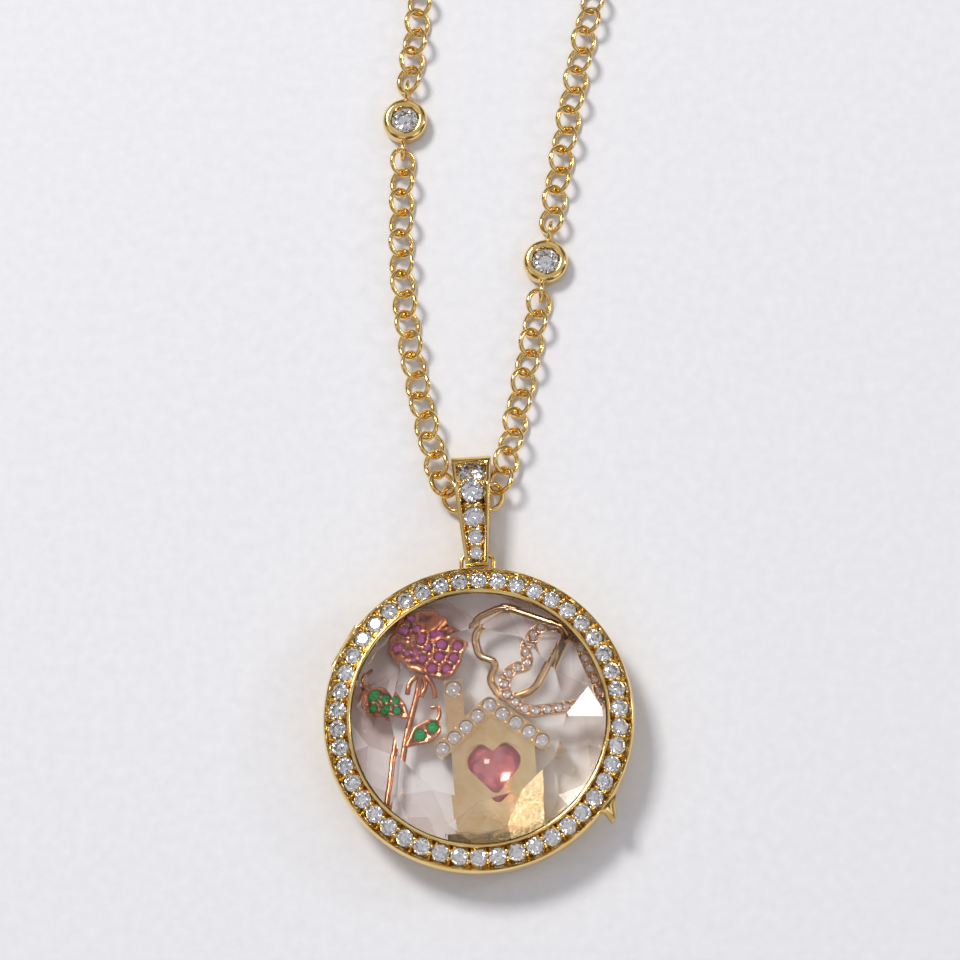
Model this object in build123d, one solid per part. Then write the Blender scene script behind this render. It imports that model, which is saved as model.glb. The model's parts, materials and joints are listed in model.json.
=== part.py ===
from build123d import *
import math
import os

# Glass locket on a chain, lying on its back, in millimetres.
# X runs to the right, Y towards the bail and Z up. The origin is the locket's axis on the surface.

# Locket case and lid
RIM_RADIUS = 12.0
RIM_BULGE = 0.12
RAIL_WIDTH = 0.17
RAIL_RISE = 0.06
LIP_WIDTH = 0.36
LIP_EDGE = 0.10
LIP_BEVEL = 0.15
POCKET_INSET = 0.03
LIP_RISE = 0.03
CASE_BOTTOM = 0.55
CASE_BOTTOM_INSET = 0.80
CASE_SIDE_INSET = 0.12
PARTING_GAP = 0.10

# Faceted crystals, front and back
CRYSTAL_CLEARANCE = 0.07
CRYSTAL_SIDES = 12
CRYSTAL_TABLE_SHARE = 0.68
FRONT_CROWN = 1.90
FRONT_GIRDLE = 0.16
BACK_CROWN = 1.00
BACK_GIRDLE = 0.30
CAVITY_HEIGHT = 2.60
PARTING_SHARE = 0.54
RIM_ABOVE_CRYSTAL = 0.24
LIP_TO_CRYSTAL = 0.08

# Ring of stones round the front, in a groove that is parallel to their undersides
BEZEL_STONE_WIDTH = 1.36
BEZEL_STONE_GAP = 0.147
GROOVE_MARGIN = 0.12
GROOVE_SLOPE = 16.0
SEAT_CLEARANCE = 0.05

# Hinge at ten o'clock and thumb tab at four
HINGE_ANGLE = 150.0
HINGE_OVERHANG = 0.02
KNUCKLE_RADIUS = 0.34
PIN_RADIUS = 0.13
PIN_CLEARANCE = 0.04
LID_KNUCKLE_LENGTH = 1.30
CASE_KNUCKLE_LENGTH = 1.10
KNUCKLE_GAP = 0.08
KNUCKLE_RELIEF = 0.10
TAB_ABOVE_PARTING = 0.20
TAB_HEIGHT = 0.70
TAB_REACH = 1.20

# Loop that carries the bail
LOOP_X = -0.15
LOOP_WIRE = 0.35
LOOP_HALF_WIDTH = 1.26
LOOP_REACH = 1.45
LOOP_CORNER = 0.50
LOOP_HEIGHT = 2.05
LOOP_ROOT = 0.60

# Bail
BAIL_LEAN = 3.5
BAIL_FOOT_HALF_WIDTH = 0.87
BAIL_TOP_HALF_WIDTH = 1.58
BAIL_TAPER_END = 8.4
BAIL_FOOT_GAP = 0.35
BAIL_RAIL = 0.26
BAIL_CHANNEL_DEPTH = 0.30
BAIL_CHANNEL_START = 0.30
BAIL_CHANNEL_END = 2.45
BAIL_LENGTH = 9.42
BAIL_DEPTH = 3.62
BAIL_TABLE_SINK = 0.02

# Chain
LINK_RADIUS = 1.06
BEND_LINK_RADIUS = 1.08
LINK_WIRE = 0.25
LINK_PITCH = 1.74
LINK_TURN = 38.0
BEND_HALF_LENGTH = 3.1
BEND_PITCH = 1.55
CHAIN_REST = 0.05
CHAIN_TUBE = 1.30
BAIL_CROSSING_HEIGHT = 1.36
CROSSING_HALF_LENGTH = 3.8
CROSSING_RAMP = 6.0
CLASP_LENGTH = 8.0
CLASP_DIAMETER = 2.6
CLASP_GAP = 0.20
CLASP_ROUNDING = 0.45

# Stations: a round setting with a stone and two soldered eyes
STATION_RADIUS = 1.78
STATION_HEIGHT = 1.50
STATION_STONE_WIDTH = 2.10
STATION_POSITIONS = {"left": 9.42, "right": 64.78}
STATION_TABLE_DEPTH = 0.12
STATION_BORE_DEPTH = 0.60
STATION_LEDGE = 0.22
STATION_ROUNDING = 0.47
EYE_RADIUS = 0.74
EYE_WIRE = 0.33
EYE_OFFSET = 2.50
EYE_REST = 0.03
EYE_TO_LINK = 1.00

# Charms inside. Lengths in their plan are shares of the round field that they lie in
CHARM_FIELD_INSET = 0.20
CHARM_CLEARANCE = 0.06
HOUSE_CENTRE = (0.120, -0.369)
HOUSE_TURN = 4.5
HOUSE_HALF_WIDTH = 0.324
HOUSE_APEX = 0.435
HOUSE_EAVE = 0.174
HOUSE_FOOT = -0.420
HOUSE_STONE_WIDTH = 0.102
ROOF_APEX = 0.495
ROOF_END = (0.388, 0.180)
ROOF_WIDTH = 0.130
ROOF_STONES_A_SIDE = 4
CHIMNEY_WIDTH = 0.145
CHIMNEY_X = -0.270
CHIMNEY_TOP = 0.715
CHIMNEY_FOOT = 0.295
CHIMNEY_STONE_WIDTH = 0.122
STEP_HALF_WIDTH = 0.390
STEP_HEIGHT = 0.080
STEP_OVERLAP = 0.005
CABOCHON_WIDTH = 0.420
HEART_CLEFT = (0.138, 0.472)
HEART_TURN = 22.5
HEART_TILT = 14.3
HEART_LENGTH = 0.605
BAND_CLEFT = (0.392, 0.430)
BAND_TURN = -31.0
BAND_ROLL = 5.0
BAND_STONES = 24

# Thicknesses and wires of the charms, in millimetres
HOUSE_THICKNESS = 0.80
ROOF_THICKNESS = 1.15
CABOCHON_SEAT_DEPTH = 0.35
CABOCHON_HEIGHT = 0.95
CABOCHON_DOME = 3.1
HEART_WIRE = 0.68
BAND_FLOOR = 0.92
BAND_WIDTH = 0.90
BAND_THICKNESS = 0.60
BAND_STONE_WIDTH = 0.62
ROSE_THICKNESS = 0.85
PETAL_STEP = 0.12
STEM_WIRE = 0.50
STEM_HEIGHT = 0.40
SEPAL_WIRE = 0.40
SEPAL_RISE = 0.15
TENDRIL_WIRE = 0.34
LEAF_FLOOR = 0.15
LEAF_THICKNESS = 0.55

# Cut of the stones, as shares of the stone's width
CROWN_SHARE = 0.16
PAVILION_SHARE = 0.42
GIRDLE_SHARE = 0.02
TABLE_SHARE = 0.57
WAIST_SHARE = 0.42

# The chain's route seen from above, from the left strand's upper end round to the right's
ROUTE_FRONT = [
    (-4.95, 59.10),
    (-5.35, 55.70),
    (-5.85, 52.50),
    (-6.15, 48.00),
    (-6.28, 43.20),
    (-6.32, 38.60),
    (-6.05, 34.60),
    (-5.45, 30.20),
    (-4.62, 26.00),
    (-3.78, 22.40),
    (-3.06, 19.45),
    (-1.70, 17.95),
    (0.20, 17.60),
    (1.55, 19.10),
    (2.35, 22.30),
    (3.05, 25.70),
    (4.10, 31.00),
    (5.02, 36.00),
    (5.62, 40.50),
    (6.32, 45.00),
    (7.02, 49.20),
    (7.72, 53.00),
    (8.28, 56.00),
    (9.00, 59.10),
]
# The hidden stretch, from the right strand's upper end round the neck to the left's
ROUTE_BACK_RIGHT = [(10.40, 65.10), (16.50, 73.80), (27.50, 82.40), (41.00, 93.50), (52.00, 110.00)]
ROUTE_BACK_LEFT = [(-49.00, 110.00), (-37.50, 93.20), (-24.00, 82.00), (-12.80, 73.60), (-5.35, 65.60)]
NECK_CENTRE = (1.50, 131.00)
NECK_RADIUS = 57.0
NECK_ANGLES = (10, 28, 46, 64, 81)

# Outlines of the rose: x, y and the radius of the corner there, as shares of the charms' field
LEFT_PETAL = [
    (-0.625, 0.630, 0.050), (-0.490, 0.710, 0.080), (-0.375, 0.610, 0.060), (-0.355, 0.445, 0.060),
    (-0.430, 0.375, 0.030), (-0.555, 0.420, 0.060), (-0.635, 0.520, 0.050),
]
RIGHT_PETAL = [
    (-0.370, 0.635, 0.040), (-0.210, 0.695, 0.060), (-0.078, 0.622, 0.012), (-0.125, 0.560, 0.030),
    (-0.145, 0.470, 0.050), (-0.195, 0.385, 0.040), (-0.275, 0.342, 0.040), (-0.410, 0.375, 0.050),
    (-0.440, 0.490, 0.060),
]
BACK_PETAL = [
    (-0.555, 0.815, 0.030), (-0.420, 0.842, 0.050), (-0.300, 0.825, 0.050), (-0.230, 0.760, 0.050),
    (-0.210, 0.640, 0.040), (-0.380, 0.560, 0.040), (-0.605, 0.620, 0.040), (-0.600, 0.720, 0.030),
]
LEFT_LEAF = [
    (-0.805, 0.260, 0.050), (-0.670, 0.270, 0.070), (-0.575, 0.145, 0.050), (-0.532, 0.025, 0.010),
    (-0.660, 0.055, 0.050), (-0.795, 0.075, 0.050), (-0.840, 0.160, 0.040),
]
RIGHT_LEAF = [
    (-0.575, -0.200, 0.010), (-0.505, -0.035, 0.060), (-0.390, 0.025, 0.050), (-0.298, 0.005, 0.040),
    (-0.295, -0.075, 0.040), (-0.370, -0.155, 0.050), (-0.480, -0.175, 0.060),
]
# Stones of the rose: x, y and width, as shares of the charms' field
SAPPHIRES = [
    (-0.498, 0.772, 0.066), (-0.545, 0.666, 0.072), (-0.445, 0.672, 0.066), (-0.405, 0.596, 0.066),
    (-0.293, 0.612, 0.080), (-0.166, 0.598, 0.074), (-0.578, 0.546, 0.062), (-0.512, 0.498, 0.052),
    (-0.442, 0.498, 0.066), (-0.310, 0.512, 0.076), (-0.198, 0.504, 0.074), (-0.366, 0.422, 0.076),
    (-0.252, 0.418, 0.072),
]
EMERALDS = [
    (-0.742, 0.205, 0.080), (-0.658, 0.168, 0.074), (-0.640, 0.092, 0.062), (-0.738, 0.118, 0.068),
    (-0.462, -0.102, 0.092), (-0.360, -0.042, 0.088),
]
# Wires of the rose: x and y, as shares of the charms' field
STEM_ROUTE = [(-0.455, 0.385), (-0.495, 0.170), (-0.565, -0.090), (-0.605, -0.360), (-0.650, -0.590)]
RIGHT_TENDRIL = [(-0.355, -0.020), (-0.305, 0.050), (-0.315, 0.130), (-0.375, 0.120)]
LEFT_TENDRIL = [(-0.780, 0.220), (-0.830, 0.330), (-0.760, 0.390)]
SEPALS = [
    [(-0.460, 0.395), (-0.545, 0.320), (-0.560, 0.220)],
    [(-0.445, 0.385), (-0.410, 0.290), (-0.455, 0.200)],
    [(-0.420, 0.375), (-0.355, 0.290), (-0.345, 0.190)],
]
# Half outline of the hearts, mirrored below: along, across and corner radius, as shares of a heart's length
HEART_CORNERS = [
    (0.000, 0.000, 0.083), (-0.182, 0.174, 0.149), (-0.132, 0.488, 0.198), (0.306, 0.545, 0.281),
    (1.000, 0.000, 0.091),
]
# Outline of the domed heart stone: x, y and corner radius, as shares of its width
CABOCHON_OUTLINE = [
    (0.000, 0.305, 0.029), (-0.226, 0.490, 0.167), (-0.500, 0.345, 0.167), (-0.488, 0.036, 0.238),
    (0.000, -0.512, 0.107), (0.488, 0.036, 0.238), (0.500, 0.345, 0.167), (0.226, 0.490, 0.167),
]
# Side of the bail: distance from the foot, share of its length, then height and corner radius, of its depth
BAIL_OUTLINE = [
    (0.000, 0.870, 0.083), (0.717, 1.000, 0.331), (0.979, 0.492, 0.221), (1.000, 0.207, 0.193),
    (0.902, 0.000, 0.221), (0.467, 0.000, 0.829), (0.000, 0.309, 0.097),
]
BAIL_CAVITY = [
    (0.066, 0.657, 0.061), (0.690, 0.773, 0.249), (0.911, 0.392, 0.110), (0.926, 0.243, 0.083),
    (0.870, 0.124, 0.110), (0.467, 0.124, 0.829), (0.066, 0.442, 0.061),
]
# Stones of the bail: distance from the foot, share of its length, then width, of the bail's, and tilt
BAIL_STONES = [
    (0.844, 0.709, 36.7), (0.637, 0.551, 0.0), (0.419, 0.494, -4.0), (0.245, 0.367, -4.0),
    (0.115, 0.323, -4.0),
]
# The thumb tab: angle round the locket and reach past the rim as a share of the tab's
TAB_OUTLINE = [
    (-26.5, 0.00), (-32.1, 0.39), (-36.6, 1.00), (-38.6, 0.96), (-37.2, 0.00), (-36.0, -0.25),
    (-29.0, -0.25),
]

# Sizes that follow from those above
CHANNEL_OUTER_RADIUS = RIM_RADIUS - RAIL_WIDTH
CHANNEL_INNER_RADIUS = CHANNEL_OUTER_RADIUS - BEZEL_STONE_WIDTH - 2 * GROOVE_MARGIN
STONE_CIRCLE = (CHANNEL_INNER_RADIUS + CHANNEL_OUTER_RADIUS) / 2
BEZEL_STONES = round(2 * math.pi * STONE_CIRCLE / (BEZEL_STONE_WIDTH + BEZEL_STONE_GAP))
LIP_RADIUS = CHANNEL_INNER_RADIUS - LIP_WIDTH
POCKET_RADIUS = CHANNEL_INNER_RADIUS - POCKET_INSET
CRYSTAL_RADIUS = POCKET_RADIUS - CRYSTAL_CLEARANCE
BACK_INNER_HEIGHT = BACK_CROWN + BACK_GIRDLE
FRONT_INNER_HEIGHT = BACK_INNER_HEIGHT + CAVITY_HEIGHT
FRONT_GIRDLE_TOP = FRONT_INNER_HEIGHT + FRONT_GIRDLE
FRONT_TABLE_HEIGHT = FRONT_GIRDLE_TOP + FRONT_CROWN
PARTING_HEIGHT = BACK_INNER_HEIGHT + PARTING_SHARE * CAVITY_HEIGHT
LID_BOTTOM = PARTING_HEIGHT + PARTING_GAP / 2
CASE_TOP = PARTING_HEIGHT - PARTING_GAP / 2
RIM_HEIGHT = FRONT_INNER_HEIGHT + RIM_ABOVE_CRYSTAL
CONE_SLOPE = math.radians(GROOVE_SLOPE)
LIP_HEIGHT = RIM_HEIGHT + (CHANNEL_OUTER_RADIUS - CHANNEL_INNER_RADIUS) * math.tan(CONE_SLOPE)
HINGE_RADIUS = RIM_RADIUS + HINGE_OVERHANG
BAIL_FOOT_Y = RIM_RADIUS + BAIL_FOOT_GAP
CHARM_FIELD = POCKET_RADIUS - CHARM_FIELD_INSET
CHARM_FLOOR = BACK_INNER_HEIGHT + CHARM_CLEARANCE
PETAL_TABLE = CHARM_FLOOR + ROSE_THICKNESS + PETAL_STEP
LEAF_TABLE = CHARM_FLOOR + LEAF_FLOOR + LEAF_THICKNESS
CHAIN_HEIGHT = LINK_RADIUS * math.sin(math.radians(LINK_TURN)) + LINK_WIRE / 2 + CHAIN_REST
EYE_HEIGHT = EYE_RADIUS + EYE_WIRE / 2 + EYE_REST
HEART_OUTLINE = HEART_CORNERS + [(x, -y, corner) for x, y, corner in reversed(HEART_CORNERS[1:-1])]


def sized(rows, *sizes):
    """The rows of a table of shares with each column taken times its size."""
    return [tuple(share * size for share, size in zip(row, sizes)) for row in rows]


def closed_face(outline):
    """A flat face inside straight runs with rounded corners, from rows of x, y and corner radius."""
    points = [(x, y) for x, y, _ in outline]
    return make_face(FilletPolyline(*points, radius=[corner for _, _, corner in outline], close=True))


def charm_face(outline):
    """A flat face from an outline in shares of the charms' field."""
    return closed_face(sized(outline, CHARM_FIELD, CHARM_FIELD, CHARM_FIELD))


def circle_points(radius, height, count, turn=0.0):
    """Points evenly round a level circle, the first one turned by an angle in radians."""
    angles = [turn + 2 * math.pi * step / count for step in range(count)]
    return [Vector(radius * math.cos(angle), radius * math.sin(angle), height) for angle in angles]


def solid_from(polygons):
    """A solid with one flat face for each closed row of points."""
    return Solid(Shell([Face(Wire.make_polygon(points)) for points in polygons]))


def crown_faces(radius, table_radius, crown, sides):
    """Table, star, kite and girdle facets, with the table at height 0 and the girdle below it."""
    star_radius = (table_radius + radius) / 2 / math.cos(math.pi / sides)
    table = circle_points(table_radius, 0, sides)
    girdle = circle_points(radius, -crown, 2 * sides)
    star = circle_points(star_radius, -crown / 2, sides, math.pi / sides)
    faces = [table]
    for side in range(sides):
        before, middle, after = 2 * side, 2 * side + 1, (2 * side + 2) % (2 * sides)
        faces.append([table[side], table[(side + 1) % sides], star[side]])
        faces.append([table[side], star[side], girdle[before], star[side - 1]])
        faces.append([star[side], girdle[before], girdle[middle]])
        faces.append([star[side], girdle[middle], girdle[after]])
    return faces, girdle


def girdle_faces(upper, lower):
    """The narrow upright facets between two rings of points."""
    count = len(upper)
    return [[upper[k], upper[(k + 1) % count], lower[(k + 1) % count], lower[k]] for k in range(count)]


def round_stone(width):
    """A round brilliant with its table at height 0 and its point below."""
    sides = 8
    radius = width / 2
    crown = CROWN_SHARE * width
    faces, girdle = crown_faces(radius, TABLE_SHARE * radius, crown, sides)
    low = -crown - GIRDLE_SHARE * width
    tip_height = low - PAVILION_SHARE * width
    lower = circle_points(radius, low, 2 * sides)
    waist_radius = WAIST_SHARE * radius / math.cos(math.pi / sides)
    waist = circle_points(waist_radius, tip_height + WAIST_SHARE * (low - tip_height), sides, math.pi / sides)
    tip = Vector(0, 0, tip_height)
    faces += girdle_faces(girdle, lower)
    for side in range(sides):
        before, middle, after = 2 * side, 2 * side + 1, (2 * side + 2) % (2 * sides)
        faces.append([tip, waist[side], lower[before], waist[side - 1]])
        faces.append([waist[side], lower[before], lower[middle]])
        faces.append([waist[side], lower[middle], lower[after]])
    return solid_from(faces)


def small_stone(width):
    """A small round stone in a plainer cut: a table and two rows of eight facets."""
    sides = 8
    radius = width / 2
    table = circle_points(TABLE_SHARE * radius, 0, sides)
    girdle = circle_points(radius, -CROWN_SHARE * width, sides)
    tip = Vector(0, 0, -(CROWN_SHARE + PAVILION_SHARE) * width)
    faces = [table]
    for side in range(sides):
        after = (side + 1) % sides
        faces.append([table[side], table[after], girdle[after], girdle[side]])
        faces.append([girdle[side], girdle[after], tip])
    return solid_from(faces)


def stone_seat(width):
    """The hollow that takes a stone whose table is at height 0: a round collar over a cone."""
    radius = width / 2 + SEAT_CLEARANCE
    depth = (CROWN_SHARE + GIRDLE_SHARE) * width + SEAT_CLEARANCE
    length = PAVILION_SHARE * width
    collar = Pos(0, 0, -depth / 2) * Cylinder(radius, depth)
    cone = Pos(0, 0, -depth - length / 2) * Cone(SEAT_CLEARANCE, radius, length)
    return cone + collar


def group(solids):
    """One node that holds several loose solids."""
    return Compound(children=list(solids))


def crystal(crown, girdle_height, inner_side_up):
    """One of the two faceted crystals, its table at height 0 and its flat inner side behind it."""
    faces, girdle = crown_faces(CRYSTAL_RADIUS, CRYSTAL_TABLE_SHARE * CRYSTAL_RADIUS, crown, CRYSTAL_SIDES)
    lower = circle_points(CRYSTAL_RADIUS, -crown - girdle_height, 2 * CRYSTAL_SIDES)
    faces += girdle_faces(girdle, lower)
    faces.append(lower)
    stone = solid_from(faces)
    return Rot(180, 0, 0) * stone if inner_side_up else stone


def crown_height_at(radius, crown):
    """How far a crystal's steepest facets lie above its girdle at a given radius."""
    table_radius = CRYSTAL_TABLE_SHARE * CRYSTAL_RADIUS
    star_radius = (table_radius + CRYSTAL_RADIUS) / 2 / math.cos(math.pi / CRYSTAL_SIDES)
    return (CRYSTAL_RADIUS - radius) / (CRYSTAL_RADIUS - star_radius) * crown / 2


def ring_from(points):
    """A ring turned round the locket's axis from a closed section of radius and height."""
    section = make_face(Wire(points))
    return revolve(Plane.XZ * section, Axis.Z)


def lid_height_at(radius):
    """Height of the sloping front of the lid, where the tables of its stones lie."""
    return LIP_HEIGHT - (radius - CHANNEL_INNER_RADIUS) * math.tan(CONE_SLOPE)


def bezel_stone_places():
    """Places on the sloping front of the lid, one for each stone, with the stone's own turn."""
    for step in range(BEZEL_STONES):
        angle = 90 + step * 360 / BEZEL_STONES
        yield (
            Rot(0, 0, angle)
            * Pos(STONE_CIRCLE, 0, lid_height_at(STONE_CIRCLE))
            * Rot(0, GROOVE_SLOPE, 0)
        )


def knuckle(start, end, radius):
    """A cylinder on the hinge's axis, between two distances from the middle of the hinge."""
    barrel = Rot(90, 0, 0) * Cylinder(radius, end - start)
    return Rot(0, 0, HINGE_ANGLE) * Pos(HINGE_RADIUS, (start + end) / 2, PARTING_HEIGHT) * barrel


def hinge_spans():
    """The stretch of the lid's knuckle and those of the case's two knuckles."""
    half = LID_KNUCKLE_LENGTH / 2
    near = half + KNUCKLE_GAP
    far = near + CASE_KNUCKLE_LENGTH
    return (-half, half), [(near, far), (-far, -near)]


def with_knuckles(body, own, other):
    """A ring with its own hinge knuckles, relieved round the other ring's and bored for the pin."""
    for start, end in other:
        body -= knuckle(start - KNUCKLE_GAP, end + KNUCKLE_GAP, KNUCKLE_RADIUS + KNUCKLE_RELIEF)
    for start, end in own:
        body += knuckle(start, end, KNUCKLE_RADIUS)
    for start, end in own:
        body -= knuckle(start - KNUCKLE_GAP, end + KNUCKLE_GAP, PIN_RADIUS + PIN_CLEARANCE)
    return body


def bail_loop():
    """The soldered wire loop at twelve o'clock that the bail swings on."""
    far = RIM_RADIUS + LOOP_REACH
    root = RIM_RADIUS - LOOP_ROOT
    path = FilletPolyline(
        (LOOP_X - LOOP_HALF_WIDTH, root, LOOP_HEIGHT),
        (LOOP_X - LOOP_HALF_WIDTH, far, LOOP_HEIGHT),
        (LOOP_X + LOOP_HALF_WIDTH, far, LOOP_HEIGHT),
        (LOOP_X + LOOP_HALF_WIDTH, root, LOOP_HEIGHT),
        radius=LOOP_CORNER,
    )
    return sweep(Plane(path @ 0, z_dir=path % 0) * Circle(LOOP_WIRE / 2), path=path)


def case_ring():
    """The back half: wall, lip round the back crystal, hinge knuckles and the loop for the bail."""
    pocket_seat = BACK_CROWN - LIP_TO_CRYSTAL
    lip_top = BACK_CROWN - crown_height_at(LIP_RADIUS, BACK_CROWN) - LIP_TO_CRYSTAL
    bottom_radius = RIM_RADIUS - CASE_BOTTOM_INSET
    section = [
        Line((POCKET_RADIUS, CASE_TOP), (RIM_RADIUS, CASE_TOP)),
        ThreePointArc(
            (RIM_RADIUS, CASE_TOP),
            (RIM_RADIUS - CASE_SIDE_INSET, (CASE_TOP + CASE_BOTTOM) / 2 + CASE_SIDE_INSET),
            (bottom_radius, CASE_BOTTOM),
        ),
        Line((bottom_radius, CASE_BOTTOM), (LIP_RADIUS, CASE_BOTTOM)),
        Line((LIP_RADIUS, CASE_BOTTOM), (LIP_RADIUS, lip_top)),
        Line((LIP_RADIUS, lip_top), (POCKET_RADIUS, pocket_seat)),
        Line((POCKET_RADIUS, pocket_seat), (POCKET_RADIUS, CASE_TOP)),
    ]
    lid_span, case_spans = hinge_spans()
    ring = with_knuckles(ring_from(section), case_spans, [lid_span])
    return ring + bail_loop()


def thumb_tab():
    """The small fin at four o'clock."""
    corners = []
    for angle, share in TAB_OUTLINE:
        radius = RIM_RADIUS + share * TAB_REACH
        corners.append((radius * math.cos(math.radians(angle)), radius * math.sin(math.radians(angle))))
    plan = make_face(Polyline(*corners, close=True))
    return Pos(0, 0, PARTING_HEIGHT + TAB_ABOVE_PARTING) * extrude(plan, TAB_HEIGHT)


def groove_corners():
    """Section of the groove, as radius and height: steep down to the girdles, then a V beneath the stones."""
    half_width = BEZEL_STONE_WIDTH / 2
    pavilion = math.atan(PAVILION_SHARE * BEZEL_STONE_WIDTH / half_width)
    girdle = (CROWN_SHARE + GIRDLE_SHARE) * BEZEL_STONE_WIDTH
    edge = (half_width + GROOVE_MARGIN) / math.cos(CONE_SLOPE)
    seat = half_width + SEAT_CLEARANCE
    bottom = girdle + PAVILION_SHARE * BEZEL_STONE_WIDTH + SEAT_CLEARANCE / math.cos(pavilion)
    seat_depth = bottom - seat * math.tan(pavilion)
    middle = lid_height_at(STONE_CIRCLE)
    corners = []
    for across, depth in [(-edge, 0), (-seat, seat_depth), (0, bottom), (seat, seat_depth), (edge, 0)]:
        radius = STONE_CIRCLE + across * math.cos(CONE_SLOPE) - depth * math.sin(CONE_SLOPE)
        height = middle - across * math.sin(CONE_SLOPE) - depth * math.cos(CONE_SLOPE)
        corners.append((radius, height))
    return corners


def bezel():
    """The lid's metal: wall, groove for the stones, lip over the front crystal, knuckle and thumb tab."""
    rail_top = RIM_HEIGHT + RAIL_RISE
    corners = [
        (RIM_RADIUS, LID_BOTTOM),
        (POCKET_RADIUS, LID_BOTTOM),
        (POCKET_RADIUS, FRONT_GIRDLE_TOP + LIP_TO_CRYSTAL),
        (LIP_RADIUS, FRONT_GIRDLE_TOP + crown_height_at(LIP_RADIUS, FRONT_CROWN) + LIP_TO_CRYSTAL),
        (LIP_RADIUS, LIP_HEIGHT - LIP_EDGE),
        (LIP_RADIUS + LIP_BEVEL, LIP_HEIGHT + LIP_RISE),
        (CHANNEL_INNER_RADIUS - LIP_RISE, LIP_HEIGHT + LIP_RISE),
        *groove_corners(),
        (CHANNEL_OUTER_RADIUS + RAIL_RISE / 2, rail_top),
        (RIM_RADIUS - RAIL_RISE, rail_top),
        (RIM_RADIUS, RIM_HEIGHT - RAIL_RISE / 2),
    ]
    section = [Line(corners[k], corners[k + 1]) for k in range(len(corners) - 1)]
    bulge = (RIM_RADIUS + RIM_BULGE, (LID_BOTTOM + RIM_HEIGHT) / 2)
    section.append(ThreePointArc(corners[-1], bulge, corners[0]))
    lid_span, case_spans = hinge_spans()
    ring = ring_from(section) + thumb_tab()
    return with_knuckles(ring, [lid_span], case_spans)


def hinge_pin():
    """The straight pin through all three knuckles."""
    _, case_spans = hinge_spans()
    end = case_spans[0][1]
    return knuckle(-end, end, PIN_RADIUS)


def bezel_stones():
    """The ring of round stones on the lid, each turned a little differently."""
    stone = round_stone(BEZEL_STONE_WIDTH)
    places = enumerate(bezel_stone_places())
    return group(place * Rot(0, 0, 17 * number) * stone for number, place in places)


# Bail, drawn from its foot at the loop and then leaned over


def bail_place():
    """The bail's own frame: its foot on the loop, leaning to the left."""
    return Pos(LOOP_X, BAIL_FOOT_Y, 0) * Rot(0, 0, BAIL_LEAN)


def bail_side(outline, half_width):
    """A side outline of distance from the foot and height, made as wide as asked."""
    rows = sized(outline, BAIL_LENGTH, BAIL_DEPTH, BAIL_DEPTH)
    return extrude(Plane.YZ * closed_face(rows), half_width, both=True)


def bail_half_width(along):
    """Half of the bail's width at a distance from its foot."""
    share = max(0.0, min(1.0, along / BAIL_TAPER_END))
    return BAIL_FOOT_HALF_WIDTH + (BAIL_TOP_HALF_WIDTH - BAIL_FOOT_HALF_WIDTH) * share


def bail_plan():
    """The tapered plan of the bail."""
    margin = 1
    right = [(bail_half_width(y), y) for y in (-margin, 0, BAIL_TAPER_END, BAIL_LENGTH + margin)]
    left = [(-x, y) for x, y in reversed(right)]
    return extrude(make_face(Polyline(*right, *left, close=True)), 3 * BAIL_DEPTH, both=True)


def bail_front(run):
    """Start, end and lean of one straight run of the bail's front: 0 up the plate, 1 over its top."""
    start, end = sized(BAIL_OUTLINE, BAIL_LENGTH, BAIL_DEPTH)[run:run + 2]
    return start, end, math.atan2(end[1] - start[1], end[0] - start[0])


def bail_channel(run, first, last):
    """The sunk channel with sloping sides along one run of the front, between two distances on that run."""
    (y, z), _, lean = bail_front(run)
    plane = Plane(origin=(0, y, z), x_dir=(1, 0, 0), z_dir=(0, -math.sin(lean), math.cos(lean)))

    def layer(height):
        inset = BAIL_RAIL - height
        near = bail_half_width(y + first * math.cos(lean)) - inset
        far = bail_half_width(y + last * math.cos(lean)) - inset
        outline = Polyline((-near, first), (near, first), (far, last), (-far, last), close=True)
        return plane * Pos(0, 0, height) * make_face(outline)

    return loft([layer(-BAIL_CHANNEL_DEPTH), layer(BAIL_CHANNEL_DEPTH)], ruled=True)


def bail():
    """A tapered strip folded into a loop, with a raised rail down each side of its stones."""
    wide = 2 * BAIL_TOP_HALF_WIDTH
    body = bail_side(BAIL_OUTLINE, wide) - bail_side(BAIL_CAVITY, wide + 1)
    body &= bail_plan()
    (y0, z0), (y1, z1), _ = bail_front(0)
    body -= bail_channel(0, BAIL_CHANNEL_START, math.hypot(y1 - y0, z1 - z0))
    body -= bail_channel(1, 0, BAIL_CHANNEL_END)
    for place, width in bail_stone_places():
        body -= place * stone_seat(width)
    return bail_place() * body


def bail_stone_places():
    """Places of the bail's stones in its own frame, with their widths."""
    for share, width, tilt in BAIL_STONES:
        along = share * BAIL_LENGTH
        (y, z), (corner, _), lean = bail_front(0)
        if along > corner:
            (y, z), _, lean = bail_front(1)
        table = z + (along - y) * math.tan(lean) - BAIL_TABLE_SINK
        yield Pos(0, along, table) * Rot(-tilt, 0, 0), 2 * BAIL_TOP_HALF_WIDTH * width


# Chain


def arc_radii(points):
    """Each corner's radius: 0.45 of its shorter run, over the tangent of half the turn."""
    radii = []
    for before, corner, after in zip(points, points[1:], points[2:]):
        run_in = Vector(*corner) - Vector(*before)
        run_out = Vector(*after) - Vector(*corner)
        turn = math.radians(run_in.get_angle(run_out))
        radii.append(0.45 * min(run_in.length, run_out.length) / math.tan(turn / 2))
    return radii


def route(points):
    """Straight runs joined by tangent arcs through a list of points."""
    return FilletPolyline(*points, radius=arc_radii(points))


def smooth_step(share):
    """Rises from 0 to 1 with level ends."""
    share = max(0.0, min(1.0, share))
    return share * share * (3 - 2 * share)


def strand():
    """The visible chain's path seen from above, as one wire with its length."""
    path = Wire(route(ROUTE_FRONT).edges())
    return path, path.length


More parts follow.
